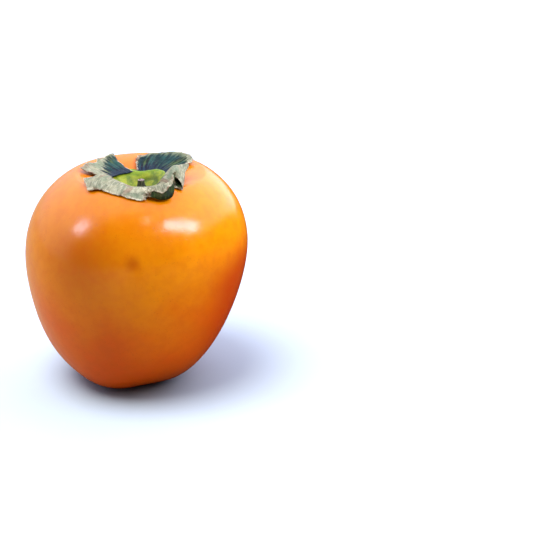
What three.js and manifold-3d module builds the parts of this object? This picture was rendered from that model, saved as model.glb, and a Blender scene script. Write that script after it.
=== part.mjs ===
// A ripe persimmon that stands upright on its own small flat spot, stem end up.
// Millimetres, +Z up. The origin is on the surface that the fruit stands on,
// under the middle of its girth, and -Y is the side that shows in the picture.
//
// Three pieces grew together: the fruit, the dry four-lobed calyx that lies in
// the hollow of its shoulder, and the cut stub of the stem in the middle.

import * as THREE from 'three';
import { mergeVertices } from 'three/addons/utils/BufferGeometryUtils.js';
import Module from 'manifold-3d';

const { lerp, smoothstep, degToRad } = THREE.MathUtils;
const wasm = await Module();
wasm.setup();

// The fruit
const GIRTH_RADIUS = 38.9;      // half of the greatest width
const GIRTH_HEIGHT = 49.6;      // where the fruit is widest
const CREST_HEIGHT = 76.3;      // the rounded rim round the stem end
const CREST_RADIUS = 22.5;
const HOLLOW_HEIGHT = 68.4;     // floor of the hollow that holds the calyx
const FLAT_OUTER = 8.0;         // the ring-shaped flat spot that it stands on
const FLAT_INNER = 5.0;
const APEX_HEIGHT = 1.4;        // how far the flower end is sunk into the base
const LEAN = 0.073;             // sideways shift of the axis for each unit of height
const SQUARE_GIRTH = 0.012;     // how square the section is at the girth
const SQUARE_FOOT = 0.095;      // and at the base, where four soft lobes show
const FOOT_FADE = 7.5;          // how soon the lobes fade out above the base
const CORNER_AZIMUTH = -20.8;   // degrees, where one of the four corners points
const FRUIT_SIDES = 64;
const CURVE_STEPS = { hollow: 5, shoulder: 7, body: 9, apex: 3 };

// Where the handles of the outline's curves lie, as shares of the way between
// their end points.
const HANDLES = {
  hollowFloor: 0.28,
  hollowWall: 0.52,
  shoulderTop: 0.1,
  shoulderSide: 0.7,
  bodySide: 0.638,
  bodyBase: 0.668,
  apexBase: 0.7,
  apexRoof: 0.6,
};

// The calyx
const CALYX_X = 2.2;            // its middle, a little to the right of the axis
const BLADE_THICKNESS = 0.8;
const BLADE_ROWS = 22;
const BLADE_COLUMNS = 13;
const CUSHION_RADIUS = 11.0;    // fleshy middle that the four lobes grow from
const CUSHION_CLEARANCE = 0.4;  // gap between its underside and the fruit
const CUSHION_RISE = 1.9;       // its thickness half way out, on average
const CUSHION_TILT = 0.45;      // how much thicker it is on its higher side
const HIGH_SIDE = 50;           // azimuth of that side, in degrees
const CUSHION_SIDES = 36;
const CUSHION_RINGS = 7;
const CUSHION_LOBE = 0.06;      // how four-sided its outline is
const CUSHION_EDGE = 0.7;       // its thickness at the rim
const CUSHION_BROW = 0.72;      // share of its radius where it starts to fall to the rim
const RING_RADIUS = 6.8;        // where it reaches its full thickness round the seat
const SEAT_RADIUS = 2.4;        // flat middle that the stem grows from
const SEAT_HEIGHT = 70.2;

// The stem stub
const STEM_GAP = 0.3;
const STEM_HEIGHT = 3.3;
const STEM_FOOT_RADIUS = 2.0;
const STEM_TOP_RADIUS = 1.2;
const STEM_SIDES = 14;

// Each lobe points along an azimuth, in degrees from +X. Its ribs run from one
// side margin to the other, and each rib from the root to the torn end, as
// [out from the calyx's middle, across, lift above the skin of the fruit].
const LOBES = [
  // back left, its straight end lifted a little off the shoulder
  {
    azimuth: 150,
    ribs: [
      [[6.5, -4.9, 2.6], [10, -5.3, 2], [14, -6.8, 1.2], [16.8, -8.6, 1.3], [18.7, -9.6, 1.6]],
      [[7.5, -2.4, 2.8], [11, -3, 1.8], [14.5, -3.8, 1.2], [17, -4.6, 1.2], [18.8, -4.8, 1.4]],
      [[8.5, 0, 2.6], [11.5, 0, 1.7], [14.5, 0, 1.2], [17, 0, 1.2], [19.1, 0, 1.3]],
      [[8.8, 2.8, 2.4], [11, 4, 1.6], [14, 4.8, 1.2], [16.8, 5, 1.2], [19.1, 4.8, 1.4]],
      [[8.8, 5.5, 2], [10.4, 8, 1.4], [13, 10, 1.2], [16, 10.4, 1.2], [18.5, 9.2, 1.3]],
    ],
  },
  // back right, spread up the shoulder
  {
    azimuth: 62,
    ribs: [
      [[7.5, -5.5, 3], [10, -7.6, 1.9], [12.8, -9.4, 1.3], [15.8, -10.8, 1.4], [17.8, -11.3, 1.9]],
      [[7.5, -2.8, 3], [11, -4, 1.9], [14.8, -5, 1.2], [18, -6, 1.3], [20.2, -6.2, 1.8]],
      [[7.5, 0, 3], [11.4, 0, 1.9], [15.5, 0, 1.2], [19, 0, 1.2], [21.4, -0.4, 1.7]],
      [[7.5, 2.8, 2.8], [10.8, 4.1, 1.8], [14.2, 5, 1.2], [16.8, 5.4, 1.1], [18.6, 5.4, 1.2]],
      [[6.6, 5.8, 2.2], [8.8, 7.3, 1.6], [11, 8.8, 1.1], [12.6, 9.7, 1], [14, 10.4, 1]],
    ],
  },
  // front left, arched and hanging over the crest
  {
    azimuth: 238,
    ribs: [
      [[6, -4.5, 1], [9.5, -6.4, 1.2], [13.8, -7.6, 2.4], [19, -7.6, 2.4], [24.6, -4, 1]],
      [[6, -2.3, 1], [10.5, -3.4, 1.4], [15, -4.4, 3.7], [20, -4.4, 2.8], [25, -1.8, 1]],
      [[6, 0, 1], [11, 0.6, 1.3], [16.2, 1.6, 2.9], [20.2, 2, 1.9], [24, 1.8, 0.9]],
      [[6, 2.5, 0.9], [11.5, 5.4, 0.9], [16.6, 8.2, 1.2], [20.2, 9.4, 1], [23.4, 9.7, 0.9]],
      [[6, 5, 0.9], [10, 9.4, 0.9], [14, 13.2, 0.9], [17.4, 15.8, 0.9], [19.5, 16.7, 0.9]],
    ],
  },
  // front right, curled up on one side and folded over on the other
  {
    azimuth: 308,
    ribs: [
      [[6, -4.5, 1], [11, -8, 1], [16.5, -10.8, 1.1], [20.8, -11.9, 0.9],
        [22.6, -12.2, 2], [21.2, -11.5, 3.4], [22.2, -12.1, 3]],
      [[6, -2.3, 1], [12.5, -5.4, 1], [19, -7.8, 1], [24.2, -9, 0.9],
        [25.4, -9.2, 2.7], [23.4, -8.4, 4.4], [24.6, -8.9, 4]],
      [[6, 0, 1], [12.5, -2.2, 1.2], [19.4, -4, 1.1], [24.8, -5, 0.9],
        [26.2, -5, 2.8], [24, -4.2, 4.8], [25.2, -4.6, 4.4]],
      [[6, 1.6, 1], [10.5, 0.8, 2.6], [15.5, -0.8, 3.4], [20.6, -1.8, 2.8],
        [22.8, -2, 3.5], [22.2, -2.2, 4.9], [23.2, -2.4, 4.8]],
      [[6, 3, 1], [9.6, 3.6, 4], [13.2, 3.8, 6.2], [16.6, 2.6, 6],
        [18.2, 2.2, 5.4], [19, 1.4, 4.7], [19.6, 0.6, 4]],
      [[6, 3.8, 1], [9.2, 6.6, 4.6], [12.8, 7.6, 5.6], [15.8, 5.8, 4.6],
        [17.6, 4.4, 3.8], [18.8, 3, 3], [19.8, 1.8, 2.4]],
      [[6, 4.4, 1], [9, 8.6, 3.6], [12.5, 11.1, 4.3], [15.6, 7.6, 3.3],
        [18.4, 5.2, 2.1], [21, 2.9, 1], [23.6, 0.6, 0.9]],
    ],
  },
];
const TORN_DEPTH = 0.025;       // how far the torn end runs in and out, as a share of its reach
const TORN_WAVES = 9;           // radians of its longer wave, from margin to margin

// The outline of half the fruit, as four curves of radius against height.

function outlineCurve(points) {
  return new THREE.CubicBezierCurve(...points.map(([r, z]) => new THREE.Vector2(r, z)));
}

const hollowCurve = outlineCurve([
  [0, HOLLOW_HEIGHT],
  [CREST_RADIUS * HANDLES.hollowFloor, HOLLOW_HEIGHT],
  [CREST_RADIUS * HANDLES.hollowWall, CREST_HEIGHT],
  [CREST_RADIUS, CREST_HEIGHT],
]);
const shoulderCurve = outlineCurve([
  [CREST_RADIUS, CREST_HEIGHT],
  [lerp(CREST_RADIUS, GIRTH_RADIUS, HANDLES.shoulderTop), CREST_HEIGHT],
  [GIRTH_RADIUS, lerp(GIRTH_HEIGHT, CREST_HEIGHT, HANDLES.shoulderSide)],
  [GIRTH_RADIUS, GIRTH_HEIGHT],
]);
const bodyCurve = outlineCurve([
  [GIRTH_RADIUS, GIRTH_HEIGHT],
  [GIRTH_RADIUS, GIRTH_HEIGHT * HANDLES.bodySide],
  [lerp(FLAT_OUTER, GIRTH_RADIUS, HANDLES.bodyBase), 0],
  [FLAT_OUTER, 0],
]);
const apexCurve = outlineCurve([
  [FLAT_INNER, 0],
  [FLAT_INNER * HANDLES.apexBase, 0],
  [FLAT_INNER * HANDLES.apexRoof, APEX_HEIGHT],
  [0, APEX_HEIGHT],
]);

// The outline without its two end points, which both lie on the axis.
function fruitOutline() {
  return [
    ...hollowCurve.getPoints(CURVE_STEPS.hollow).slice(1),
    ...shoulderCurve.getPoints(CURVE_STEPS.shoulder).slice(1),
    ...bodyCurve.getPoints(CURVE_STEPS.body).slice(1),
    ...apexCurve.getPoints(CURVE_STEPS.apex).slice(0, -1),
  ];
}

// The section is nearly round, with four soft corners that grow towards the base.
function fruitPoint(radius, height, angle) {
  const foot = Math.max(0, 1 - height / GIRTH_HEIGHT) ** FOOT_FADE;
  const square = lerp(SQUARE_GIRTH, SQUARE_FOOT, foot);
  const reach = radius * (1 + square * Math.cos(4 * (angle - degToRad(CORNER_AZIMUTH))));
  return [
    reach * Math.cos(angle) + LEAN * (height - GIRTH_HEIGHT),
    reach * Math.sin(angle),
    height,
  ];
}

function closedGeometry(positions, triangles) {
  const geometry = new THREE.BufferGeometry();
  geometry.setAttribute('position', new THREE.Float32BufferAttribute(positions.flat(), 3));
  geometry.setIndex(triangles.flat());
  geometry.computeVertexNormals();
  return geometry;
}

// Rings of points joined into a body that closes on one point at each end.
// The rings run anticlockwise seen from above and go from the top down.
function ringBody(topPoint, rings, bottomPoint) {
  const sides = rings[0].length;
  const positions = [topPoint, ...rings.flat(), bottomPoint];
  const last = positions.length - 1;
  const triangles = [];
  for (let side = 0; side < sides; side += 1) {
    const next = (side + 1) % sides;
    triangles.push([0, 1 + side, 1 + next]);
    for (let ring = 0; ring < rings.length - 1; ring += 1) {
      const upper = 1 + ring * sides;
      const lower = upper + sides;
      triangles.push([upper + side, lower + side, lower + next]);
      triangles.push([upper + side, lower + next, upper + next]);
    }
    const final = 1 + (rings.length - 1) * sides;
    triangles.push([final + side, last, final + next]);
  }
  return closedGeometry(positions, triangles);
}

function makeFruit() {
  const rings = fruitOutline().map(({ x: radius, y: height }) => (
    Array.from({ length: FRUIT_SIDES }, (_, side) => (
      fruitPoint(radius, height, (side / FRUIT_SIDES) * 2 * Math.PI)
    ))
  ));
  return ringBody(fruitPoint(0, HOLLOW_HEIGHT, 0), rings, fruitPoint(0, APEX_HEIGHT, 0));
}

// Height of the skin at the stem end above a point, read off the outline.
const skinOutline = [...hollowCurve.getPoints(60), ...shoulderCurve.getPoints(60).slice(1)];

function skinHeight(x, y) {
  const radius = Math.hypot(x - LEAN * (CREST_HEIGHT - GIRTH_HEIGHT), y);
  const index = skinOutline.findIndex((point) => point.x >= radius);
  if (index <= 0) {
    return HOLLOW_HEIGHT;
  }
  const before = skinOutline[index - 1];
  const after = skinOutline[index];
  const part = (radius - before.x) / (after.x - before.x);
  return lerp(before.y, after.y, part);
}

// A smooth curve through evenly spaced points of any kind, at a share of its way.
function splineAt(points, share) {
  const spans = points.length - 1;
  const place = Math.min(1, Math.max(0, share)) * spans;
  const span = Math.min(spans - 1, Math.floor(place));
  const t = place - span;
  const at = (index) => {
    if (index < 0) {
      return points[0].map((value, k) => 2 * value - points[1][k]);
    }
    if (index > spans) {
      return points[spans].map((value, k) => 2 * value - points[spans - 1][k]);
    }
    return points[index];
  };
  const [a, b, c, d] = [at(span - 1), at(span), at(span + 1), at(span + 2)];
  return b.map((value, k) => 0.5 * (
    2 * value + (c[k] - a[k]) * t
    + (2 * a[k] - 5 * value + 4 * c[k] - d[k]) * t ** 2
    + (3 * value - a[k] - 3 * c[k] + d[k]) * t ** 3
  ));
}

// A point in the middle of a lobe's blade. down runs from 0 at the root to 1 at
// the torn end, and side from 0 to 1 across.
function lobePoint(lobe, down, side) {
  const rib = lobe.ribs[0].map((_, index) => (
    splineAt(lobe.ribs.map((points) => points[index]), side)
  ));
  const [reach, across, lift] = splineAt(rib, down);
  const phase = TORN_WAVES * side + lobe.azimuth;
  const torn = TORN_DEPTH * (Math.sin(phase) + 0.6 * Math.sin(2.3 * phase)) * down ** 6;
  const out = reach * (1 + torn);
  const azimuth = degToRad(lobe.azimuth);
  const x = CALYX_X + out * Math.cos(azimuth) - across * Math.sin(azimuth);
  const y = out * Math.sin(azimuth) + across * Math.cos(azimuth);
  return new THREE.Vector3(x, y, skinHeight(x, y) + lift);
}

// A blade of even thickness round the middle surface, split alike on both faces.
function makeBlade(lobe) {
  const rows = BLADE_ROWS;
  const columns = BLADE_COLUMNS;
  const middle = (row, column) => lobePoint(lobe, row / (rows - 1), column / (columns - 1));
  const faces = { upper: [], lower: [] };
  for (let row = 0; row < rows; row += 1) {
    for (let column = 0; column < columns; column += 1) {
      const along = middle(Math.min(rows - 1, row + 1), column);
      along.sub(middle(Math.max(0, row - 1), column));
      const across = middle(row, Math.min(columns - 1, column + 1));
      across.sub(middle(row, Math.max(0, column - 1)));
      const normal = along.cross(across).normalize().multiplyScalar(BLADE_THICKNESS / 2);
      const point = middle(row, column);
      faces.upper.push(point.clone().add(normal).toArray());
      faces.lower.push(point.clone().sub(normal).toArray());
    }
  }
  const count = rows * columns;
  const triangles = [];
  for (let row = 0; row < rows - 1; row += 1) {
    for (let column = 0; column < columns - 1; column += 1) {
      const a = row * columns + column;
      const b = a + columns;
      triangles.push([a, b, b + 1], [a, b + 1, a + 1]);
      triangles.push([count + a, count + b + 1, count + b], [count + a, count + a + 1, count + b + 1]);
    }
  }
  // The rim joins the two faces, walked once round the blade's outline.
  const rim = [];
  for (let row = 0; row < rows - 1; row += 1) {
    rim.push(row * columns);
  }
  for (let column = 0; column < columns - 1; column += 1) {
    rim.push((rows - 1) * columns + column);
  }
  for (let row = rows - 1; row > 0; row -= 1) {
    rim.push(row * columns + columns - 1);
  }
  for (let column = columns - 1; column > 0; column -= 1) {
    rim.push(column);
  }
  rim.forEach((start, index) => {
    const end = rim[(index + 1) % rim.length];
    triangles.push([start, count + start, count + end], [start, count + end, end]);
  });
  return closedGeometry([...faces.upper, ...faces.lower], triangles);
}

// The fleshy middle: a low ring of four soft lobes round a flat seat for the stem.
function cushionPoint(share, angle, top) {
  const lobing = 1 + CUSHION_LOBE * Math.cos(4 * angle - Math.PI);
  const radius = CUSHION_RADIUS * share * lobing;
  const x = CALYX_X + radius * Math.cos(angle);
  const y = radius * Math.sin(angle);
  const underside = skinHeight(x, y) + CUSHION_CLEARANCE;
  if (!top) {
    return [x, y, underside];
  }
  const seat = smoothstep(radius, SEAT_RADIUS, RING_RADIUS);
  const edge = smoothstep(share, CUSHION_BROW, 1);
  const rise = CUSHION_RISE * (1 + CUSHION_TILT * Math.cos(angle - degToRad(HIGH_SIDE)));
  const ring = underside + lerp(rise, CUSHION_EDGE, edge);
  return [x, y, lerp(SEAT_HEIGHT, ring, seat)];
}

function makeCushion() {
  const ringOf = (share, top) => Array.from({ length: CUSHION_SIDES }, (_, side) => (
    cushionPoint(share, (side / CUSHION_SIDES) * 2 * Math.PI, top)
  ));
  const rings = [];
  for (let ring = 1; ring <= CUSHION_RINGS; ring += 1) {
    rings.push(ringOf(ring / CUSHION_RINGS, true));
  }
  for (let ring = CUSHION_RINGS; ring >= 1; ring -= 1) {
    rings.push(ringOf(ring / CUSHION_RINGS, false));
  }
  return ringBody(cushionPoint(0, 0, true), rings, cushionPoint(0, 0, false));
}

function toSolid(geometry) {
  const bare = geometry.clone();
  bare.deleteAttribute('normal');
  const merged = mergeVertices(bare);
  return new wasm.Manifold(new wasm.Mesh({
    numProp: 3,
    vertProperties: new Float32Array(merged.attributes.position.array),
    triVerts: new Uint32Array(merged.index.array),
  }));
}

function fromSolid(solid) {
  const { vertProperties, triVerts } = solid.getMesh();
  const geometry = new THREE.BufferGeometry();
  geometry.setAttribute('position', new THREE.BufferAttribute(vertProperties, 3));
  geometry.setIndex(new THREE.BufferAttribute(triVerts, 1));
  geometry.computeVertexNormals();
  return geometry;
}

function makeCalyx() {
  const solid = LOBES.reduce(
    (joined, lobe) => joined.add(toSolid(makeBlade(lobe))),
    toSolid(makeCushion()),
  );
  return fromSolid(solid);
}

// The stub tapers from a flared foot to a cut end with a shallow hollow.
function makeStem() {
  const profile = [
    [0, 0],
    [STEM_FOOT_RADIUS, 0],
    [STEM_FOOT_RADIUS * 0.86, STEM_HEIGHT * 0.2],
    [STEM_TOP_RADIUS * 1.12, STEM_HEIGHT * 0.6],
    [STEM_TOP_RADIUS, STEM_HEIGHT],
    [STEM_TOP_RADIUS * 0.6, STEM_HEIGHT * 0.95],
    [0, STEM_HEIGHT * 0.92],
  ].map(([radius, height]) => new THREE.Vector2(radius, height));
  const lathe = new THREE.LatheGeometry(profile, STEM_SIDES);
  lathe.deleteAttribute('uv');
  lathe.deleteAttribute('normal');
  lathe.rotateX(Math.PI / 2);
  return mergeVertices(lathe);
}

const skin = new THREE.MeshStandardMaterial({ color: 0xe8821c, roughness: 0.32, metalness: 0 });
const dryLeaf = new THREE.MeshStandardMaterial({ color: 0x7f8f68, roughness: 0.85, metalness: 0 });
const wood = new THREE.MeshStandardMaterial({ color: 0x3b3426, roughness: 0.9, metalness: 0 });

function named(name, geometry, material) {
  const mesh = new THREE.Mesh(geometry, material);
  mesh.name = name;
  return mesh;
}

const persimmon = new THREE.Group();
persimmon.add(named('fruit', makeFruit(), skin));
persimmon.add(named('calyx', makeCalyx(), dryLeaf));

const stem = named('stem', makeStem(), wood);
stem.position.set(CALYX_X, 0, SEAT_HEIGHT + STEM_GAP);
persimmon.add(stem);

export default persimmon;
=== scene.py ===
"""The looks of a ripe persimmon that stands on its own flat spot, stem end up.

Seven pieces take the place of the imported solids: the waxy skin of the fruit, the
four dry lobes of the calyx and its fleshy green middle, and the cut stub of the
stem. The shapes repeat the part's own formulas, finer, with the wrinkles, torn
margins and veins that the solids leave out. Lengths in them are in millimetres.
"""

import math

import bpy
import numpy as np
from mathutils import Matrix, Vector, noise


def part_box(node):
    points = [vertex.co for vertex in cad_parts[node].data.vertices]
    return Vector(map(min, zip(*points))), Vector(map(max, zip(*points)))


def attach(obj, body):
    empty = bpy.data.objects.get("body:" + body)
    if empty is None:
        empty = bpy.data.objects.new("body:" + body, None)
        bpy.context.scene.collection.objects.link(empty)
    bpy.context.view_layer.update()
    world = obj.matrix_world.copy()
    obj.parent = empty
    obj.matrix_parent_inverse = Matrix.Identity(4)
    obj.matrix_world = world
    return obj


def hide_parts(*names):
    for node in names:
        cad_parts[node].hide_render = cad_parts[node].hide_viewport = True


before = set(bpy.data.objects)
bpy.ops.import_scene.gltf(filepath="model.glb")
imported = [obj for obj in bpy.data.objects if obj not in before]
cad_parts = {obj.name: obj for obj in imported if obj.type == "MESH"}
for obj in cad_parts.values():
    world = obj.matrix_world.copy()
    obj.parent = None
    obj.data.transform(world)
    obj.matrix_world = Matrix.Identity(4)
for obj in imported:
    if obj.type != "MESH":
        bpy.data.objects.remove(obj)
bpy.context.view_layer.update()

MM = 0.001
fruit_low, fruit_high = (np.array(corner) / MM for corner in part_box("fruit"))
stem_low, stem_high = (np.array(corner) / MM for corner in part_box("stem"))

# The fruit
GIRTH_RADIUS = 38.9
GIRTH_HEIGHT = 49.6
CREST_HEIGHT = fruit_high[2]
CREST_RADIUS = 22.5
HOLLOW_HEIGHT = 68.4
FLAT_OUTER = 8.0
FLAT_INNER = 5.0
APEX_HEIGHT = 1.4
LEAN = 0.073
SQUARE_GIRTH = 0.012
SQUARE_FOOT = 0.095
FOOT_FADE = 7.5
CORNER_AZIMUTH = -20.8
DENT_DEPTH = 0.16
DENT_SIZE = 17.0
FRUIT_SIDES = 256
SKIN_LINE_STEPS = 80
HOLLOW_STEPS, SHOULDER_STEPS, BODY_STEPS, FLAT_STEPS, APEX_STEPS = 26, 44, 72, 6, 12
# Where the skin gets a patch of painted shade on the left of the front, and how far it fades
SHADE_PATCH = (-15.8, -35.0, 56.8)
SHADE_PATCH_RADIUS = 22.0
BRUISE = (1.6, -38.2, 57.2)
BRUISE_RADIUS = 4.0
SCAR_INNER, SCAR_OUTER = 0.6, 3.2

# How far the handles of the outline's curves reach, as shares of their spans
HANDLES = {
    "hollow_floor": 0.28,
    "hollow_wall": 0.52,
    "shoulder_top": 0.1,
    "shoulder_side": 0.7,
    "body_side": 0.638,
    "body_base": 0.668,
    "apex_base": 0.7,
    "apex_roof": 0.6,
}

# The calyx
CALYX_X = 2.2
BLADE_THICKNESS = 0.5
BLADE_MARGIN_THICKNESS = 0.28
BLADE_ROWS = 104
BLADE_COLUMNS = 84
BLADE_CLEARANCE = 0.62
BLADE_LENGTH = 24.0
CUSHION_RADIUS = 11.0
CUSHION_CLEARANCE = 0.4
CUSHION_RISE = 1.9
CUSHION_TILT = 0.45
HIGH_SIDE = 50
CUSHION_EDGE = 0.7
CUSHION_BROW = 0.72
CUSHION_LOBE = 0.06
CUSHION_SIDES = 144
CUSHION_RINGS = 40
CUSHION_BUMPS = 0.22
CREASE_RADIUS = 5.4
CREASE_WAVE = 0.5
CREASE_WIDTH = 0.55
CREASE_DEPTH = 0.45
CREASE_SIDE = 35
RING_RADIUS = 6.8
SEAT_RADIUS = 2.4
SEAT_HEIGHT = 70.2

# Each lobe: its azimuth in degrees, and ribs from one side margin to the other,
# each from root to torn end, as (out, across, lift above the skin). The blade
# turns pale between two shares of its length, "from" and "to". "tilt" moves that
# change towards the root on one side, and "sides" does so at both margins.
LOBES = {
    "back_left": {
        "azimuth": 150,
        "dry": {"from": 0.3, "to": 0.9, "tilt": 0.9, "sides": 0.25},
        "ribs": [
            [(6.5, -4.9, 2.6), (10, -5.3, 2), (14, -6.8, 1.2), (16.8, -8.6, 1.3), (18.7, -9.6, 1.6)],
            [(7.5, -2.4, 2.8), (11, -3, 1.8), (14.5, -3.8, 1.2), (17, -4.6, 1.2), (18.8, -4.8, 1.4)],
            [(8.5, 0, 2.6), (11.5, 0, 1.7), (14.5, 0, 1.2), (17, 0, 1.2), (19.1, 0, 1.3)],
            [(8.8, 2.8, 2.4), (11, 4, 1.6), (14, 4.8, 1.2), (16.8, 5, 1.3), (19.3, 4.8, 2.1)],
            [(8.8, 5.5, 2), (10.4, 8, 1.4), (13, 10, 1.2), (16, 10.4, 1.2), (18.5, 9.2, 1.3)],
        ],
    },
    "back_right": {
        "azimuth": 62,
        "dry": {"from": 0.8, "to": 1.2, "tilt": 0.0, "sides": 0.45},
        "ribs": [
            [(7.5, -5.5, 2.2), (10, -7.6, 1.9), (12.8, -9.4, 1.3), (15.8, -10.8, 1.4), (17.8, -11.3, 1.9)],
            [(7.5, -2.8, 2.2), (11, -4, 1.9), (14.8, -5, 1.2), (18, -6, 1.3), (20.2, -6.2, 1.8)],
            [(7.5, 0, 2.2), (11.4, 0, 1.9), (15.5, 0, 1.2), (19, 0, 1.2), (21.4, -0.4, 1.7)],
            [(7.5, 2.8, 2.2), (10.8, 4.1, 1.8), (14.2, 5, 1.2), (16.8, 5.4, 1.1), (18.6, 5.4, 1.2)],
            [(6.6, 5.8, 2.2), (8.8, 7.3, 1.6), (11, 8.8, 1.1), (12.6, 9.7, 1), (14, 10.4, 1)],
        ],
    },
    "front_left": {
        "azimuth": 238,
        "dry": {"from": -0.2, "to": 0.35, "tilt": 0.0, "sides": 0.0},
        "ribs": [
            [(6, -4.5, 1), (9.5, -6.4, 1.1), (13, -7.8, 1.2), (16.6, -8.8, 1.4), (20, -9.4, 2)],
            [(6, -3.6, 1), (10, -5.2, 1.3), (14.2, -6.5, 2.6), (18.4, -6.9, 2.2), (22.2, -6.4, 0.9)],
            [(6, -2.1, 1), (10.5, -3.2, 1.4), (15, -4, 3.7), (19.8, -4.2, 2.8), (24.4, -2.6, 0.9)],
            [(6, 0, 1), (11, 0.6, 1.3), (16.2, 1.6, 2.9), (20.2, 2, 1.9), (24, 1.8, 0.9)],
            [(6, 2.5, 0.9), (11.5, 5.4, 0.9), (16.6, 8.2, 1.2), (20.2, 9.4, 1), (23.4, 9.7, 0.9)],
            [(6, 5, 0.9), (10, 9.4, 0.9), (14, 13.2, 0.9), (17.4, 15.8, 0.9), (19.5, 16.7, 0.9)],
        ],
    },
    "front_right": {
        "azimuth": 308,
        "dry": {"from": 0.0, "to": 0.5, "tilt": 0.0, "sides": 0.0},
        "ribs": [
            [(6, -4.5, 1), (11, -8, 1), (16.5, -10.8, 1.1), (20.8, -11.9, 0.9),
             (22.6, -12.2, 2), (21.2, -11.5, 3.4), (22.2, -12.1, 3)],
            [(6, -2.3, 1), (12.5, -5.4, 1), (19, -7.8, 1), (24.2, -9, 0.9),
             (25.4, -9.2, 2.7), (23.4, -8.4, 4.4), (24.6, -8.9, 4)],
            [(6, 0, 1), (12.5, -2.2, 1.2), (19.4, -4, 1.1), (24.8, -5, 0.9),
             (26.2, -5, 2.8), (24, -4.2, 4.8), (25.2, -4.6, 4.4)],
            [(6, 1.6, 1), (10.5, 0.8, 2.6), (15.5, -0.8, 3.4), (20.6, -1.8, 2.8),
             (22.8, -2, 3.5), (22.2, -2.2, 4.9), (23.2, -2.4, 4.8)],
            [(6, 3, 1), (9.6, 3.6, 4), (13.2, 3.8, 6.2), (16.6, 2.6, 6),
             (18.2, 2.2, 5.4), (19, 1.4, 4.7), (19.6, 0.6, 4)],
            [(6, 3.8, 1), (9.2, 6.6, 4.6), (12.8, 7.6, 5.6), (15.8, 5.8, 4.6),
             (17.6, 4.4, 3.8), (18.8, 3, 3), (19.8, 1.8, 2.4)],
            [(6, 4.4, 1), (9, 8.6, 3.6), (12.5, 11.1, 4.3), (15.6, 7.6, 3.3),
             (18.4, 5.2, 2.1), (21, 2.9, 1), (23.6, 0.6, 0.9)],
            [(6, 4.8, 1), (9, 5.6, 1), (12.5, 5, 1.1), (15.5, 3, 1.1),
             (18, 1, 1), (20, -0.4, 0.9), (21.8, -1.4, 0.9)],
        ],
    },
}
TORN_DEPTH = 0.025
TORN_WAVES = 9
TEETH_SPREAD = 26
TEETH_SIZE = 1.5
TEETH_DEPTH = 0.012
SIDE_TEETH_SIZE = 1.8
SIDE_TEETH_DEPTH = 0.05
CRUMPLE = 0.28
CRUMPLE_SIZE = 3.6

# The stem
STEM_SIDES, STEM_RINGS, STEM_END_RINGS = 72, 40, 12
STEM_TAPER = 0.6
STEM_RIDGES = 0.10
STEM_END_HOLLOW = 0.25

# The camera and the floor: the fruit stands left of the middle of the frame
CAMERA_ELEVATION = 21.5
CAMERA_DISTANCE = 600.0
CAMERA_TARGET = (45.66, 0.0, 41.36)
PIXELS_PER_MM = 2.83
FRAME_PIXELS = 533
SENSOR_MM = 36.0
FLOOR_HALF = 3000.0

# The lights: panels at one distance from the middle of the fruit's shoulder
SHOULDER_MM = 66.0
PANEL_MM = 600.0


def smoothstep(low, high, value):
    share = np.clip((value - low) / (high - low), 0, 1)
    return share * share * (3 - 2 * share)


def lerp(start, end, share):
    return start + (end - start) * share


def bezier(points, count, with_end=False):
    """Evenly stepped points of a cubic curve, as rows of (radius, height)."""
    a, b, c, d = (np.array(point, float) for point in points)
    t = np.linspace(0, 1, count, endpoint=with_end)[:, None]
    s = 1 - t
    return s**3 * a + 3 * s**2 * t * b + 3 * s * t**2 * c + t**3 * d


def hollow_and_shoulder(hollow_steps, shoulder_steps):
    """The fruit's outline from the middle of the stem end out to its girth."""
    hollow = bezier([
        (0, HOLLOW_HEIGHT),
        (CREST_RADIUS * HANDLES["hollow_floor"], HOLLOW_HEIGHT),
        (CREST_RADIUS * HANDLES["hollow_wall"], CREST_HEIGHT),
        (CREST_RADIUS, CREST_HEIGHT),
    ], hollow_steps)
    shoulder = bezier([
        (CREST_RADIUS, CREST_HEIGHT),
        (lerp(CREST_RADIUS, GIRTH_RADIUS, HANDLES["shoulder_top"]), CREST_HEIGHT),
        (GIRTH_RADIUS, lerp(GIRTH_HEIGHT, CREST_HEIGHT, HANDLES["shoulder_side"])),
        (GIRTH_RADIUS, GIRTH_HEIGHT),
    ], shoulder_steps)
    return hollow, shoulder


def fruit_outline():
    """The whole outline, from the stem end over the girth and the flat to the base."""
    hollow, shoulder = hollow_and_shoulder(HOLLOW_STEPS, SHOULDER_STEPS)
    body = bezier([
        (GIRTH_RADIUS, GIRTH_HEIGHT),
        (GIRTH_RADIUS, GIRTH_HEIGHT * HANDLES["body_side"]),
        (lerp(FLAT_OUTER, GIRTH_RADIUS, HANDLES["body_base"]), 0),
        (FLAT_OUTER, 0),
    ], BODY_STEPS)
    flat = np.stack([np.linspace(FLAT_OUTER, FLAT_INNER, FLAT_STEPS, endpoint=False),
                     np.zeros(FLAT_STEPS)], axis=1)
    apex = bezier([
        (FLAT_INNER, 0),
        (FLAT_INNER * HANDLES["apex_base"], 0),
        (FLAT_INNER * HANDLES["apex_roof"], APEX_HEIGHT),
        (0, APEX_HEIGHT),
    ], APEX_STEPS, with_end=True)
    return np.vstack([hollow, shoulder, body, flat, apex])


skin_line = np.vstack(hollow_and_shoulder(SKIN_LINE_STEPS, SKIN_LINE_STEPS))


def skin_height(x, y):
    """Height of the skin at the stem end, above points of the ground plane."""
    radius = np.hypot(x - LEAN * (CREST_HEIGHT - GIRTH_HEIGHT), y)
    return np.interp(radius, skin_line[:, 0], skin_line[:, 1])


def ring_faces(rings, sides):
    """Quads between rings that each hold the same number of points, round and round."""
    ring, side = np.meshgrid(np.arange(rings - 1), np.arange(sides), indexing="ij")
    here = ring * sides + side
    beside = ring * sides + (side + 1) % sides
    return np.stack([here, here + sides, beside + sides, beside], axis=-1).reshape(-1, 4)


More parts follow.
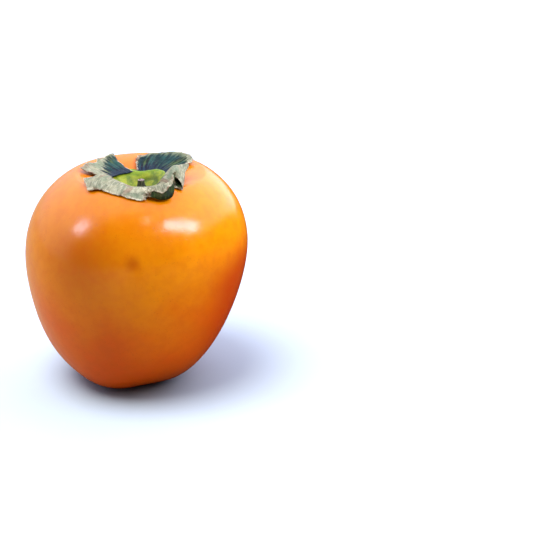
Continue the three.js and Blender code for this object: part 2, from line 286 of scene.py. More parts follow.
def new_piece(name, points_mm, faces, material):
    """A smooth mesh object from points in mm."""
    mesh = bpy.data.meshes.new(name)
    mesh.from_pydata((np.asarray(points_mm) * MM).tolist(), [], [list(face) for face in faces])
    mesh.validate()
    for polygon in mesh.polygons:
        polygon.use_smooth = True
    mesh.materials.append(material)
    piece = bpy.data.objects.new(name, mesh)
    bpy.context.scene.collection.objects.link(piece)
    return piece


def paint(piece, name, channels):
    """A colour attribute on the points, which the piece's material reads."""
    attribute = piece.data.color_attributes.new(name=name, type="FLOAT_COLOR", domain="POINT")
    channels = np.asarray(channels)
    values = np.ones((len(channels), 4), np.float32)
    values[:, :channels.shape[1]] = channels
    attribute.data.foreach_set("color", values.ravel())


def wrinkle(points, size, octaves=1, seed=0.0):
    """Smooth noise between -1 and 1 at points in mm, with features of the given size."""
    offset = Vector((seed, seed * 0.7, seed * 1.3))
    values = [
        sum(noise.noise(Vector(point) * (2**octave / size) + offset) / 2**octave
            for octave in range(octaves))
        for point in np.asarray(points).tolist()
    ]
    return np.array(values)


class Nodes:
    """A short way to write the node tree of a material or a world."""

    def __init__(self, owner):
        self.owner = owner
        owner.use_nodes = True
        self.tree = owner.node_tree
        self.tree.nodes.clear()
        self.places = self.add("ShaderNodeTexCoord").outputs
        self.coordinates = self.places["Object"]

    def add(self, kind, **settings):
        node = self.tree.nodes.new(kind)
        for key, value in settings.items():
            setattr(node, key, value)
        return node

    def link(self, source, target):
        self.tree.links.new(source, target)

    def put(self, socket, value):
        if hasattr(value, "links"):
            self.link(value, socket)
        else:
            socket.default_value = value

    def painted(self, name):
        """The four channels that were painted on the piece's points."""
        attribute = self.add("ShaderNodeAttribute", attribute_name=name)
        colour = self.add("ShaderNodeSeparateColor")
        self.link(attribute.outputs["Color"], colour.inputs[0])
        return (*colour.outputs, attribute.outputs["Alpha"])

    def noise(self, size_mm, detail=3.0, roughness=0.55, distortion=0.0, vector=None):
        node = self.add("ShaderNodeTexNoise")
        self.put(node.inputs["Vector"], vector or self.coordinates)
        node.inputs["Scale"].default_value = 1 / (size_mm * MM)
        node.inputs["Detail"].default_value = detail
        node.inputs["Roughness"].default_value = roughness
        node.inputs["Distortion"].default_value = distortion
        return node.outputs["Fac"]

    def cells(self, size_mm):
        node = self.add("ShaderNodeTexVoronoi")
        self.link(self.coordinates, node.inputs["Vector"])
        node.inputs["Scale"].default_value = 1 / (size_mm * MM)
        return node.outputs["Distance"]

    def range(self, value, low, high, to_low=0.0, to_high=1.0):
        node = self.add("ShaderNodeMapRange", interpolation_type="SMOOTHSTEP")
        self.put(node.inputs["Value"], value)
        node.inputs["From Min"].default_value = low
        node.inputs["From Max"].default_value = high
        node.inputs["To Min"].default_value = to_low
        node.inputs["To Max"].default_value = to_high
        return node.outputs["Result"]

    def near(self, point_mm, radius_mm):
        """1 at a point of the piece, softly down to 0 at a distance from it."""
        node = self.add("ShaderNodeVectorMath", operation="DISTANCE")
        self.link(self.coordinates, node.inputs[0])
        node.inputs[1].default_value = Vector(point_mm) * MM
        return self.range(node.outputs["Value"], radius_mm * MM, 0.0)

    def math(self, operation, first, second):
        node = self.add("ShaderNodeMath", operation=operation)
        self.put(node.inputs[0], first)
        self.put(node.inputs[1], second)
        return node.outputs[0]

    def mix(self, share, first, second):
        node = self.add("ShaderNodeMix", data_type="RGBA")
        self.put(node.inputs["Factor"], share)
        self.put(node.inputs["A"], first)
        self.put(node.inputs["B"], second)
        return node.outputs["Result"]

    def split(self, vector):
        node = self.add("ShaderNodeSeparateXYZ")
        self.link(vector, node.inputs[0])
        return node.outputs

    def stretch(self, scale, vector=None):
        node = self.add("ShaderNodeMapping")
        self.put(node.inputs["Vector"], vector or self.coordinates)
        node.inputs["Scale"].default_value = scale
        return node.outputs["Vector"]

    def bump(self, height, distance_mm, strength, below=None):
        node = self.add("ShaderNodeBump")
        self.put(node.inputs["Height"], height)
        node.inputs["Distance"].default_value = distance_mm * MM
        node.inputs["Strength"].default_value = strength
        if below is not None:
            self.link(below, node.inputs["Normal"])
        return node.outputs["Normal"]

    def surface(self, **inputs):
        shader = self.add("ShaderNodeBsdfPrincipled")
        for key, value in inputs.items():
            self.put(shader.inputs[key.replace("_", " ")], value)
        output = self.add("ShaderNodeOutputMaterial")
        self.link(shader.outputs["BSDF"], output.inputs["Surface"])


def rgb(red, green, blue):
    """A display colour, 0 to 255 a channel, as the linear colour that shaders take."""
    def linear(value):
        value /= 255
        return value / 12.92 if value <= 0.04045 else ((value + 0.055) / 1.055) ** 2.4
    return (linear(red), linear(green), linear(blue), 1.0)


def skin_material():
    """Waxy orange skin with painted light and shade: yellower and lighter on the shoulder,
    brighter and yellower on its right, redder and darker below and on the lower right side.

    It has a patch of painted shade on the left of the front, a small bruise, pores, faint
    scuffs and a dark scar at the base.
    """
    nodes = Nodes(bpy.data.materials.new("persimmon_skin"))
    scar, shade, *_ = nodes.painted("skin")
    scar = nodes.math("ADD", scar, nodes.range(nodes.noise(1.4), 0.3, 0.7, -0.45, 0.1))
    scar = nodes.range(scar, 0.2, 0.75)
    place = nodes.split(nodes.coordinates)
    height = nodes.range(place["Z"], 2 * MM, 66 * MM)
    patches = nodes.noise(26, detail=2.5)
    # painted shade: redder and darker towards the base, yellower and lighter towards the shoulder, with
    # random patches
    height_shade_and_patches = nodes.math("ADD", height, nodes.range(patches, 0.3, 0.7, -0.15, 0.15))
    colour = nodes.mix(nodes.range(height_shade_and_patches, 0.0, 1.0), rgb(222, 84, 1), rgb(226, 130, 1))
    # painted light: brighter and yellower on the right of the shoulder, with random patches
    painted_light_right = nodes.range(place["X"], 0 * MM, 36 * MM)
    painted_light_right = nodes.math("ADD", painted_light_right, nodes.range(patches, 0.35, 0.65, -0.2, 0.2))
    painted_light_right = nodes.math("MULTIPLY", painted_light_right, nodes.range(place["Z"], 30 * MM, 58 * MM))
    colour = nodes.mix(nodes.math("MULTIPLY", painted_light_right, 0.8), colour, rgb(252, 152, 2))
    # painted shade: deeper red and darker on the lower right side, with random patches
    painted_shade_lower_right = nodes.range(place["X"], 14 * MM, 40 * MM)
    painted_shade_lower_right = nodes.math("MULTIPLY", painted_shade_lower_right, nodes.range(place["Z"], 68 * MM, 40 * MM))
    painted_shade_lower_right = nodes.math("ADD", painted_shade_lower_right, nodes.range(patches, 0.3, 0.7, -0.12, 0.12))
    colour = nodes.mix(nodes.range(painted_shade_lower_right, 0.05, 0.85, 0.0, 0.85), colour, rgb(190, 44, 0))
    # painted shade: a darker patch on the left of the front
    painted_shade_left = nodes.math("MULTIPLY", nodes.near(SHADE_PATCH, SHADE_PATCH_RADIUS), 0.75)
    colour = nodes.mix(painted_shade_left, colour, rgb(186, 84, 1))
    bruise = nodes.math("MULTIPLY", nodes.near(BRUISE, BRUISE_RADIUS), 0.6)
    colour = nodes.mix(bruise, colour, rgb(168, 66, 2))
    mottle = nodes.noise(3.2, detail=5.0, roughness=0.6)
    colour = nodes.mix(nodes.range(mottle, 0.35, 0.7, 0.0, 0.25), colour, rgb(202, 84, 2))
    pores = nodes.cells(1.15)
    pore = nodes.range(pores, 0.10, 0.24, 1.0, 0.0)
    scatter = nodes.range(nodes.noise(5.0, detail=1.0), 0.42, 0.62)
    pore = nodes.math("MULTIPLY", pore, scatter)
    colour = nodes.mix(nodes.math("MULTIPLY", pore, 0.3), colour, rgb(176, 74, 4))
    scuff = nodes.range(nodes.noise(11, detail=6.0, roughness=0.7, distortion=0.6), 0.66, 0.78)
    colour = nodes.mix(nodes.math("MULTIPLY", scuff, 0.35), colour, rgb(150, 70, 14))
    colour = nodes.mix(nodes.math("MULTIPLY", shade, 0.7), colour, rgb(238, 112, 0))
    colour = nodes.mix(scar, colour, rgb(58, 38, 22))

    grain = nodes.noise(0.7, detail=2.0)
    normal = nodes.bump(nodes.noise(7.0, detail=2.0), 0.25, 0.25)
    normal = nodes.bump(grain, 0.03, 0.35, below=normal)
    normal = nodes.bump(nodes.range(pores, 0.08, 0.3), 0.04, 0.5, below=normal)
    gloss = nodes.range(nodes.noise(4.0, detail=4.0), 0.3, 0.7, 0.16, 0.23)
    gloss = nodes.math("MAXIMUM", gloss, nodes.math("MULTIPLY", scar, 0.8))
    nodes.surface(
        Base_Color=colour,
        Roughness=gloss,
        Normal=normal,
        IOR=1.38,
        Subsurface_Weight=0.15,
        Subsurface_Radius=(1.0, 0.3, 0.05),
        Subsurface_Scale=0.003,
    )
    return nodes.owner


def lobe_material():
    """Dry calyx lobe: navy and teal at the root, green stripes, then pale and mottled.

    Its point colours hold dryness, the way down the blade, the face and the margin.
    """
    nodes = Nodes(bpy.data.materials.new("dry_calyx"))
    dry, down, under, margin = nodes.painted("blade")
    along = nodes.add("ShaderNodeUVMap", uv_map="blade_place").outputs["UV"]

    stripes = nodes.noise(3.4, detail=2.0, vector=nodes.stretch((1, 0.14, 1), along))
    veins = nodes.noise(1.3, detail=3.0, roughness=0.6, vector=nodes.stretch((1, 0.1, 1), along))
    fine_veins = nodes.noise(0.5, detail=2.0, vector=nodes.stretch((1, 0.12, 1), along))
    patches = nodes.noise(3.4, detail=4.0, roughness=0.6)
    mottle = nodes.noise(0.7, detail=4.0, roughness=0.65)

    root_colour = nodes.mix(nodes.range(veins, 0.42, 0.6), rgb(12, 20, 36), rgb(34, 54, 70))
    green = nodes.mix(nodes.range(veins, 0.42, 0.6), rgb(6, 28, 16), rgb(72, 92, 48))
    teal = nodes.mix(nodes.range(veins, 0.42, 0.62), rgb(2, 38, 38), rgb(30, 74, 66))
    middle = nodes.mix(nodes.range(stripes, 0.42, 0.56), green, teal)
    way = nodes.math("ADD", down, nodes.range(veins, 0.3, 0.7, -0.1, 0.1))
    fresh = nodes.mix(nodes.range(way, 0.16, 0.4), root_colour, middle)
    fresh = nodes.mix(nodes.range(way, 0.66, 0.95), fresh, rgb(116, 124, 92))

    pale = nodes.mix(nodes.range(patches, 0.36, 0.62), rgb(114, 118, 90), rgb(156, 152, 120))
    pale = nodes.mix(nodes.range(fine_veins, 0.46, 0.6, 0.0, 0.6), pale, rgb(190, 186, 152))
    grey_green = nodes.range(nodes.noise(5.0, detail=2.0), 0.5, 0.66, 0.0, 0.5)
    pale = nodes.mix(grey_green, pale, rgb(112, 132, 100))
    pale = nodes.mix(nodes.range(mottle, 0.54, 0.68, 0.0, 0.5), pale, rgb(88, 76, 66))
    pale = nodes.mix(nodes.range(stripes, 0.54, 0.64, 0.0, 0.6), pale, rgb(132, 96, 76))
    dryness = nodes.math("ADD", dry, nodes.range(veins, 0.3, 0.7, -0.35, 0.35))
    colour = nodes.mix(nodes.range(dryness, 0.3, 0.7), fresh, pale)

    back = nodes.mix(nodes.range(patches, 0.35, 0.65), rgb(12, 28, 4), rgb(44, 62, 18))
    back = nodes.mix(nodes.range(fine_veins, 0.5, 0.66, 0.0, 0.4), back, rgb(84, 100, 46))
    brown = nodes.range(nodes.noise(6.0, detail=3.0), 0.52, 0.66, 0.0, 0.5)
    back = nodes.mix(brown, back, rgb(96, 70, 36))
    colour = nodes.mix(under, colour, back)
    rim = nodes.range(nodes.math("ADD", margin, nodes.range(mottle, 0.3, 0.7, -0.35, 0.35)), 0.6, 1.0)
    rim_colour = nodes.mix(nodes.range(patches, 0.4, 0.55), rgb(118, 84, 54), rgb(226, 214, 178))
    colour = nodes.mix(nodes.math("MULTIPLY", rim, 0.75), colour, rim_colour)
    specks = nodes.range(nodes.cells(1.2), 0.08, 0.24, 1.0, 0.0)
    spotted = nodes.math("MULTIPLY", specks, nodes.range(nodes.noise(4.5), 0.46, 0.58))
    colour = nodes.mix(nodes.math("MULTIPLY", spotted, 0.7), colour, rgb(84, 62, 50))

    normal = nodes.bump(veins, 0.4, 0.7)
    normal = nodes.bump(fine_veins, 0.16, 0.5, below=normal)
    normal = nodes.bump(mottle, 0.22, 0.7, below=normal)
    nodes.surface(
        Base_Color=colour,
        Roughness=nodes.range(patches, 0.3, 0.7, 0.55, 0.82),
        Normal=normal,
        Specular_IOR_Level=0.2,
        Subsurface_Weight=0.06,
        Subsurface_Radius=(0.6, 0.7, 0.3),
        Subsurface_Scale=0.001,
    )
    return nodes.owner


def cushion_material():
    """Fresh yellow-green middle, olive round the stem, duller in front, painted shade in the crease, and
    speckled.
    """
    nodes = Nodes(bpy.data.materials.new("calyx_middle"))
    out, crease, *_ = nodes.painted("cushion")
    place = nodes.split(nodes.coordinates)
    patches = nodes.noise(3.0, detail=4.0, roughness=0.6)
    mottle = nodes.noise(0.9, detail=4.0, roughness=0.65)
    colour = nodes.mix(nodes.range(patches, 0.36, 0.62), rgb(96, 118, 8), rgb(152, 158, 20))
    back = nodes.range(place["Y"], 1 * MM, 8 * MM)
    back = nodes.math("MULTIPLY", back, nodes.range(out, 0.45, 0.8))
    colour = nodes.mix(nodes.math("MULTIPLY", back, 0.65), colour, rgb(104, 142, 14))
    olive = nodes.range(out, 0.16, 0.42, 1.0, 0.0)
    olive = nodes.math("ADD", olive, nodes.range(patches, 0.3, 0.7, -0.25, 0.25))
    olive = nodes.range(olive, 0.1, 1.0)
    colour = nodes.mix(nodes.math("MULTIPLY", olive, 0.7), colour, rgb(108, 104, 24))
    front = nodes.range(place["Y"], -1 * MM, -6 * MM)
    colour = nodes.mix(nodes.math("MULTIPLY", front, 0.6), colour, rgb(148, 138, 62))
    # painted shade: darker green down in the crease
    colour = nodes.mix(nodes.math("MULTIPLY", crease, 0.75), colour, rgb(66, 88, 8))
    colour = nodes.mix(nodes.range(mottle, 0.56, 0.7, 0.0, 0.5), colour, rgb(184, 178, 64))
    specks = nodes.range(nodes.cells(1.1), 0.08, 0.24, 1.0, 0.0)
    spotted = nodes.math("MULTIPLY", specks, nodes.range(nodes.noise(3.5), 0.46, 0.6))
    colour = nodes.mix(nodes.math("MULTIPLY", spotted, 0.75), colour, rgb(142, 100, 78))
    normal = nodes.bump(nodes.noise(1.6, detail=4.0), 0.3, 0.6)
    normal = nodes.bump(mottle, 0.12, 0.6, below=normal)
    nodes.surface(
        Base_Color=colour,
        Roughness=0.52,
        Normal=normal,
        Specular_IOR_Level=0.3,
        Subsurface_Weight=0.15,
        Subsurface_Radius=(0.5, 1.0, 0.2),
        Subsurface_Scale=0.001,
    )
    return nodes.owner


def stem_material():
    """Dark greenish bark with grey fibres, and a paler pinkish cut end."""
    nodes = Nodes(bpy.data.materials.new("stem_wood"))
    cut, ridge, *_ = nodes.painted("stub")
    fibres = nodes.noise(0.8, detail=4.0, vector=nodes.stretch((1, 1, 0.25)))
    colour = nodes.mix(nodes.range(fibres, 0.38, 0.62), rgb(20, 24, 14), rgb(84, 84, 58))
    colour = nodes.mix(nodes.math("MULTIPLY", ridge, 0.3), colour, rgb(120, 114, 86))
    pith = nodes.range(nodes.noise(0.5, detail=3.0), 0.35, 0.65)
    end = nodes.mix(pith, rgb(84, 68, 62), rgb(182, 160, 150))
    colour = nodes.mix(cut, colour, end)
    normal = nodes.bump(fibres, 0.25, 0.9)
    nodes.surface(Base_Color=colour, Roughness=0.85, Normal=normal)
    return nodes.owner


def floor_material():
    """Pale bluish sheet to the camera, a darker one in reflections and bounced light, with a painted
    shadow towards the right in reflections.
    """
    nodes = Nodes(bpy.data.materials.new("pale_floor"))
    mottle = nodes.noise(30, detail=2.0)
    seen = nodes.mix(nodes.range(mottle, 0.3, 0.7), (0.335, 0.385, 0.49, 1), (0.34, 0.39, 0.49, 1))
    # painted shadow: in reflections the floor darkens towards the right of the fruit
    painted_shadow_rightwards = nodes.range(nodes.split(nodes.coordinates)["X"], -60 * MM, 60 * MM)
    mirrored = nodes.mix(painted_shadow_rightwards, (0.22, 0.18, 0.14, 1), (0.02, 0.015, 0.01, 1))
    rays = nodes.add("ShaderNodeLightPath")
    colour = nodes.mix(rays.outputs["Is Glossy Ray"], (0.25, 0.25, 0.25, 1), mirrored)
    colour = nodes.mix(rays.outputs["Is Camera Ray"], colour, seen)
    nodes.surface(Base_Color=colour, Roughness=0.8, Specular_IOR_Level=0.0)
    return nodes.owner


def make_fruit():
    """The outline turned round, with four soft corners, shallow dents and a sideways lean."""
    outline = fruit_outline()
    radius, height = outline[:, :1], outline[:, 1:]
    angle = np.linspace(0, 2 * np.pi, FRUIT_SIDES, endpoint=False)[None, :]
    foot = np.maximum(0, 1 - height / GIRTH_HEIGHT) ** FOOT_FADE
    square = lerp(SQUARE_GIRTH, SQUARE_FOOT, foot)
    reach = radius * (1 + square * np.cos(4 * (angle - math.radians(CORNER_AZIMUTH))))
    x = reach * np.cos(angle)
    y = reach * np.sin(angle)
    z = np.broadcast_to(height, x.shape)
    round_points = np.stack([x, y, z], axis=-1).reshape(-1, 3)
    dents = wrinkle(round_points, DENT_SIZE, octaves=2).reshape(x.shape)
    bare = smoothstep(CREST_RADIUS, GIRTH_RADIUS, radius)
    scale = 1 + DENT_DEPTH * dents * bare / GIRTH_RADIUS
    x = x * scale + LEAN * (height - GIRTH_HEIGHT)
    y = y * scale
    piece = new_piece(
        "fruit_skin",
        np.stack([x, y, z], axis=-1).reshape(-1, 3),
        ring_faces(len(outline), FRUIT_SIDES),
        skin_material(),
    )
    scar = np.where(height < GIRTH_HEIGHT / 2, 1 - smoothstep(SCAR_INNER, SCAR_OUTER, radius), 0)
    near_stem = 1 - smoothstep(CREST_RADIUS * 0.4, CREST_RADIUS * 1.25, radius)
    shade = np.where(height > GIRTH_HEIGHT, near_stem, 0)
    channels = [np.broadcast_to(values, x.shape).ravel() for values in (scar, shade, 0 * scar)]
    paint(piece, "skin", np.stack(channels, axis=-1))
    return piece


def spline(points, share):
    """A smooth curve through evenly spaced rows of points, at shares of its way."""
    spans = len(points) - 1
    first = 2 * points[:1] - points[1:2]
    last = 2 * points[-1:] - points[-2:-1]
    padded = np.concatenate([first, points, last])
    place = np.clip(share, 0, 1) * spans
    span = np.minimum(place.astype(int), spans - 1)
    t = (place - span).reshape((-1,) + (1,) * (points.ndim - 1))
    a, b, c, d = (padded[span + k] for k in range(4))
    square = 2 * a - 5 * b + 4 * c - d
    cube = 3 * b - a - 3 * c + d
    return 0.5 * (2 * b + (c - a) * t + square * t**2 + cube * t**3)


def lobe_middle(lobe, seed):
    """The blade's middle surface as a grid of points, with its two parameters."""
    down = np.linspace(0, 1, BLADE_ROWS)
    side = np.linspace(0, 1, BLADE_COLUMNS)
    ribs = spline(np.array(lobe["ribs"], float), side)
    grid = spline(ribs.transpose(1, 0, 2), down)
    down, side = np.meshgrid(down, side, indexing="ij")
    reach, across, lift = grid[..., 0], grid[..., 1], grid[..., 2]

    phase = TORN_WAVES * side + lobe["azimuth"]
    torn = TORN_DEPTH * (np.sin(phase) + 0.6 * np.sin(2.3 * phase)) * down**6
    places = [side * TEETH_SPREAD, down * TEETH_SPREAD, np.full_like(side, seed)]
    edge_line = np.stack(places, axis=-1).reshape(-1, 3)
    teeth = wrinkle(edge_line * (1, 0, 1), TEETH_SIZE, octaves=3, seed=seed).reshape(side.shape)
    torn += TEETH_DEPTH * teeth * smoothstep(0.8, 1.0, down)
    side_teeth = wrinkle(edge_line * (0, 1, 1), SIDE_TEETH_SIZE, octaves=3, seed=seed + 5)
    side_teeth = side_teeth.reshape(side.shape)
    margin = smoothstep(0.38, 0.5, np.abs(side - 0.5))
    reach = reach * (1 + torn)
    across = across * (1 + SIDE_TEETH_DEPTH * side_teeth * margin * smoothstep(0.1, 0.4, down))

    azimuth = math.radians(lobe["azimuth"])
    x = CALYX_X + reach * math.cos(azimuth) - across * math.sin(azimuth)
    y = reach * math.sin(azimuth) + across * math.cos(azimuth)
    flat = np.stack([x, y, lift * 2], axis=-1).reshape(-1, 3)
    crumple = wrinkle(flat, CRUMPLE_SIZE, octaves=3, seed=seed).reshape(side.shape)
    rim = np.maximum(margin, smoothstep(0.72, 1.0, down))
    lift = lift + CRUMPLE * crumple * smoothstep(0.05, 0.4, down) * (0.6 + 1.4 * rim)
    lift = np.maximum(lift, BLADE_CLEARANCE)
    return np.stack([x, y, skin_height(x, y) + lift], axis=-1), down, side


def make_lobe(name, lobe, seed, material):
    """A thin closed blade: an upper and a lower face, and a wall round their margin."""
    middle, down, side = lobe_middle(lobe, seed)
    along = np.gradient(middle, axis=0)
    across = np.gradient(middle, axis=1)
    normal = np.cross(along, across)
    normal /= np.linalg.norm(normal, axis=-1, keepdims=True)
    edge = np.maximum(smoothstep(0.42, 0.5, np.abs(side - 0.5)), smoothstep(0.9, 1.0, down))
    half = lerp(BLADE_THICKNESS, BLADE_MARGIN_THICKNESS, edge)[..., None] / 2
    upper = (middle + normal * half).reshape(-1, 3)
    lower = (middle - normal * half).reshape(-1, 3)

    rows, columns = BLADE_ROWS, BLADE_COLUMNS
    row, column = np.meshgrid(np.arange(rows - 1), np.arange(columns - 1), indexing="ij")
    start = (row * columns + column).ravel()
    top = np.stack([start, start + columns, start + columns + 1, start + 1], axis=-1)
    count = rows * columns
    bottom = count + top[:, ::-1]
    rim = np.concatenate([
        np.arange(rows - 1) * columns,
        (rows - 1) * columns + np.arange(columns - 1),
        np.arange(rows - 1, 0, -1) * columns + columns - 1,
        np.arange(columns - 1, 0, -1),
    ])
    after = np.roll(rim, -1)
    wall = np.stack([rim, count + rim, count + after, after], axis=-1)
    piece = new_piece(name, np.vstack([upper, lower]), np.vstack([top, bottom, wall]), material)

    dry = lobe["dry"]
    moved = down + dry["tilt"] * (side - 0.5) + dry["sides"] * np.abs(2 * side - 1) ** 3
    dryness = smoothstep(dry["from"], dry["to"], moved)
    face = np.ones_like(dryness)
    paint(piece, "blade", np.vstack([
        np.stack([dryness, down, 0 * face, edge], axis=-1).reshape(-1, 4),
        np.stack([dryness, down, face, edge], axis=-1).reshape(-1, 4),
    ]))
    uv = piece.data.uv_layers.new(name="blade_place")
    places = np.stack([side, down], axis=-1).reshape(-1, 2) * BLADE_LENGTH * MM
    places = np.vstack([places, places]) + seed * MM
    corners = np.empty(len(piece.data.loops), np.int64)
    piece.data.loops.foreach_get("vertex_index", corners)
    uv.data.foreach_set("uv", places[corners].astype(np.float32).ravel())
    return piece


def cushion_surface(share, angle):
    """Top and bottom of the fleshy middle, in mm, and how deep in the crease a point lies."""
    radius = CUSHION_RADIUS * share * (1 + CUSHION_LOBE * np.cos(4 * angle - np.pi))
    x = CALYX_X + radius * np.cos(angle)
    y = radius * np.sin(angle)
    underside = skin_height(x, y) + CUSHION_CLEARANCE
    seat = smoothstep(SEAT_RADIUS, RING_RADIUS, radius)
    edge = smoothstep(CUSHION_BROW, 1, share)
    rise = CUSHION_RISE * (1 + CUSHION_TILT * np.cos(angle - math.radians(HIGH_SIDE)))
    ring = underside + lerp(rise, CUSHION_EDGE, edge)
    height = lerp(SEAT_HEIGHT, ring, seat)
    from_fold = radius - CREASE_RADIUS - CREASE_WAVE * np.sin(3 * angle)
    fold = np.exp(-((from_fold / CREASE_WIDTH) ** 2))
    crease = fold * (0.45 + 0.55 * np.cos(angle - math.radians(CREASE_SIDE)))
    crease = np.clip(crease, 0, 1)
    top = np.stack([x, y, height], axis=-1)
    soft = wrinkle(top.reshape(-1, 3), 3.0, octaves=3, seed=3.0).reshape(share.shape)
    top[..., 2] += CUSHION_BUMPS * soft * smoothstep(0.25, 0.5, share) - CREASE_DEPTH * crease
    bottom = np.stack([x, y, underside], axis=-1)
    return top, bottom, crease


def make_cushion():
    """The fleshy middle as rings of points, out over its top and back under it."""
    share = np.linspace(0, 1, CUSHION_RINGS)
    angle = np.linspace(0, 2 * np.pi, CUSHION_SIDES, endpoint=False)
    share, angle = np.meshgrid(share, angle, indexing="ij")
    top, bottom, crease = cushion_surface(share, angle)
    points = np.vstack([top.reshape(-1, 3), bottom[::-1].reshape(-1, 3)])
    faces = ring_faces(2 * CUSHION_RINGS, CUSHION_SIDES)
    piece = new_piece("calyx_middle", points, faces, cushion_material())
    channels = np.stack([share, crease, 0 * share], axis=-1)
    paint(piece, "cushion", np.vstack([channels.reshape(-1, 3), channels[::-1].reshape(-1, 3)]))
    return piece


def make_stem():
    """A tapering stub with fibrous ridges and a hollowed, ragged cut end."""
    sides, rings, end_rings = STEM_SIDES, STEM_RINGS, STEM_END_RINGS
    foot_radius = (stem_high[0] - stem_low[0]) / 2
    full = stem_high[2] - stem_low[2]
    top_radius = foot_radius * STEM_TAPER
    angle = np.linspace(0, 2 * np.pi, sides, endpoint=False)[None, :]
    way = np.linspace(0, 1, rings)[:, None]
    taper = lerp(foot_radius, top_radius, smoothstep(-0.25, 0.8, way))
    place = np.stack([np.broadcast_to(np.cos(angle) * 3, (rings, sides)),
                      np.broadcast_to(np.sin(angle) * 3, (rings, sides)),
                      np.broadcast_to(way * 1.2, (rings, sides))], axis=-1).reshape(-1, 3)
    ridges = wrinkle(place, 0.9, octaves=3, seed=9.0).reshape(rings, sides)
    ragged = wrinkle(place * (1, 1, 0), 1.2, octaves=2, seed=4.0).reshape(rings, sides)
    radius = taper * (1 + STEM_RIDGES * ridges)
    height = stem_low[2] + full * way * (0.95 + 0.06 * ragged)
    wall = np.stack([radius * np.cos(angle), radius * np.sin(angle), height], axis=-1)
    inward = np.linspace(1, 0, end_rings + 1)[1:, None]
    rim = wall[-1]
    hollow = STEM_END_HOLLOW * (1 - inward**2)
    end = np.stack([rim[:, 0] * inward, rim[:, 1] * inward, rim[:, 2] - hollow], axis=-1)
    end[..., 2] += 0.05 * ridges[-end_rings:] * inward
    under = np.stack([wall[0][:, 0] * 0, wall[0][:, 1] * 0, wall[0][:, 2]], axis=-1)[None]
    points = np.vstack([under, wall, end]).reshape(-1, 3)
    points[:, 0] += CALYX_X
    faces = ring_faces(rings + end_rings + 1, sides)[:, ::-1]
    piece = new_piece("stem_stub", points, faces, stem_material())
    channels = np.zeros((rings + end_rings + 1, sides, 3))
    channels[rings:, :, 0] = 1
    channels[1:rings + 1, :, 1] = smoothstep(0.0, 0.4, ridges)
    paint(piece, "stub", channels.reshape(-1, 3))
    return piece


def make_floor():
    half, base = FLOOR_HALF, fruit_low[2]
    corners = [(-half, -half, base), (half, -half, base), (half, half, base), (-half, half, base)]
    return new_piece("floor", corners, [(0, 1, 2, 3)], floor_material())


def add_panel(name, lit, toward, along, width_mm, height_mm, radiance, colour):
    """A soft box seen from the fruit's shoulder in one direction, its width along another.

    It lights only the objects of one collection. Its radiance is what a mirror would show.
    """
    light = bpy.data.lights.new(name, "AREA")
    light.shape = "RECTANGLE"
    light.size = width_mm * MM
    light.size_y = height_mm * MM
    light.energy = radiance * math.pi * light.size * light.size_y
    light.color = colour
    lamp = bpy.data.objects.new(name, light)
    back = Vector(toward).normalized()
    side = Vector(along)
    side = (side - back * side.dot(back)).normalized()
    turn = Matrix((side, back.cross(side), back)).transposed()
    place = (Vector((0, 0, SHOULDER_MM)) + back * PANEL_MM) * MM
    lamp.matrix_world = Matrix.Translation(place) @ turn.to_4x4()
    lamp.light_linking.receiver_collection = lit
    bpy.context.scene.collection.objects.link(lamp)


def lit_group(name, pieces):
    """The objects that a lamp lights, as a collection outside the scene."""
    group = bpy.data.collections.new(name)
    for piece in pieces:
        group.objects.link(piece)
    return group


def add_floor_lamp(name, lit, toward, strength, angle, colour):
    """A wide soft lamp far overhead, which gives the floor its compact shadow."""
    light = bpy.data.lights.new(name, "SUN")
    light.energy = strength * math.pi
    light.angle = math.radians(angle)
    light.color = colour
    lamp = bpy.data.objects.new(name, light)
    lamp.rotation_euler = Vector(toward).to_track_quat("Z", "Y").to_euler()
    lamp.light_linking.receiver_collection = lit
    bpy.context.scene.collection.objects.link(lamp)


def add_lights(pieces, floor):
    """Windows that light the fruit, and two lamps that light the floor."""
    lit_floor = lit_group("lit_by_floor_lamps", [floor])
    add_floor_lamp("floor_lamp_left", lit_floor, (-0.3, -0.24, 1), 1.62, 38, (1.0, 1.0, 0.86))
    add_floor_lamp("floor_lamp_wide", lit_floor, (0.25, -0.2, 1), 0.55, 80, (1.0, 1.0, 0.86))
    lit = lit_group("lit_by_windows", pieces)
    slope = (0.44, 0.26, -0.27)
    add_panel("right_window", lit, (0.66, -0.40, 0.63), slope, 330, 120, 23.0, (0.94, 0.97, 1.25))
    add_panel("slim_window", lit, (0.2, -0.48, 0.86), slope, 50, 110, 9.0, (1.0, 0.98, 1.0))
    add_panel("left_window", lit, (-0.78, -0.21, 0.59), (0.3, -1, 0), 150, 160, 13.0, (0.96, 0.96, 1.2))


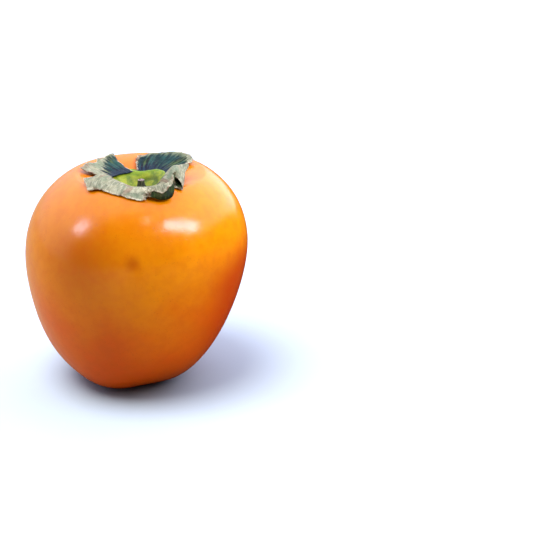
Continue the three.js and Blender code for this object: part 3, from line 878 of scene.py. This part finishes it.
def make_world():
    """A pale room: white above and behind the fruit, brightest behind on the right.

    It is dim in front of the fruit and darkest below it, and the camera sees plain white.
    """
    world = bpy.data.worlds.new("studio")
    nodes = Nodes(world)

    def facing(direction, low, high):
        """0 to 1 as the view into the world turns towards a direction."""
        node = nodes.add("ShaderNodeVectorMath", operation="DOT_PRODUCT")
        nodes.link(nodes.places["Generated"], node.inputs[0])
        node.inputs[1].default_value = Vector(direction).normalized()
        return nodes.range(node.outputs["Value"], low, high)

    white = nodes.mix(facing((0, 0, 1), 0.0, 0.7), (0.9, 0.92, 1.02, 1), (1.85, 1.93, 2.3, 1))
    dim = nodes.mix(facing((-1, 0.1, 0.1), 0.2, 0.9), (0.09, 0.09, 0.08, 1), (0.24, 0.23, 0.2, 1))
    colour = nodes.mix(facing((0, 1, 0), -0.45, -0.1), dim, white)
    colour = nodes.mix(facing((0.75, 0.63, 0.23), 0.6, 0.95), colour, (2.9, 2.9, 3.2, 1))
    colour = nodes.mix(facing((-0.556, 0.154, 0.817), -0.26, -0.14), (0.1, 0.07, 0.05, 1), colour)
    rays = nodes.add("ShaderNodeLightPath")
    colour = nodes.mix(rays.outputs["Is Camera Ray"], colour, (1.05, 1.05, 1.05, 1))
    background = nodes.add("ShaderNodeBackground")
    nodes.link(colour, background.inputs["Color"])
    output = nodes.add("ShaderNodeOutputWorld")
    nodes.link(background.outputs[0], output.inputs["Surface"])
    bpy.context.scene.world = world


def add_camera():
    elevation = math.radians(CAMERA_ELEVATION)
    target = Vector(CAMERA_TARGET) * MM
    back = Vector((0, -math.cos(elevation), math.sin(elevation)))
    data = bpy.data.cameras.new("camera")
    data.sensor_width = SENSOR_MM
    data.lens = SENSOR_MM * PIXELS_PER_MM * CAMERA_DISTANCE / FRAME_PIXELS
    data.clip_start = 0.01
    camera = bpy.data.objects.new("camera", data)
    camera.location = target + back * CAMERA_DISTANCE * MM
    camera.rotation_euler = (-back).to_track_quat("-Z", "Y").to_euler()
    bpy.context.scene.collection.objects.link(camera)
    bpy.context.scene.camera = camera


def dress(piece, node):
    """Joins a piece to the part's body, and hides the node that it replaces."""
    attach(piece, "root")
    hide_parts(node)


add_camera()
make_world()
bpy.context.scene.view_settings.view_transform = "Standard"

leaf = lobe_material()
lobes = [
    make_lobe("calyx_lobe_" + name, lobe, 10.0 * seed, leaf)
    for seed, (name, lobe) in enumerate(LOBES.items(), start=1)
]
fruit = make_fruit()
cushion = make_cushion()
stem = make_stem()
dress(fruit, "fruit")
for piece in lobes + [cushion]:
    dress(piece, "calyx")
dress(stem, "stem")
floor = make_floor()
add_lights([fruit, cushion, stem] + lobes, floor)
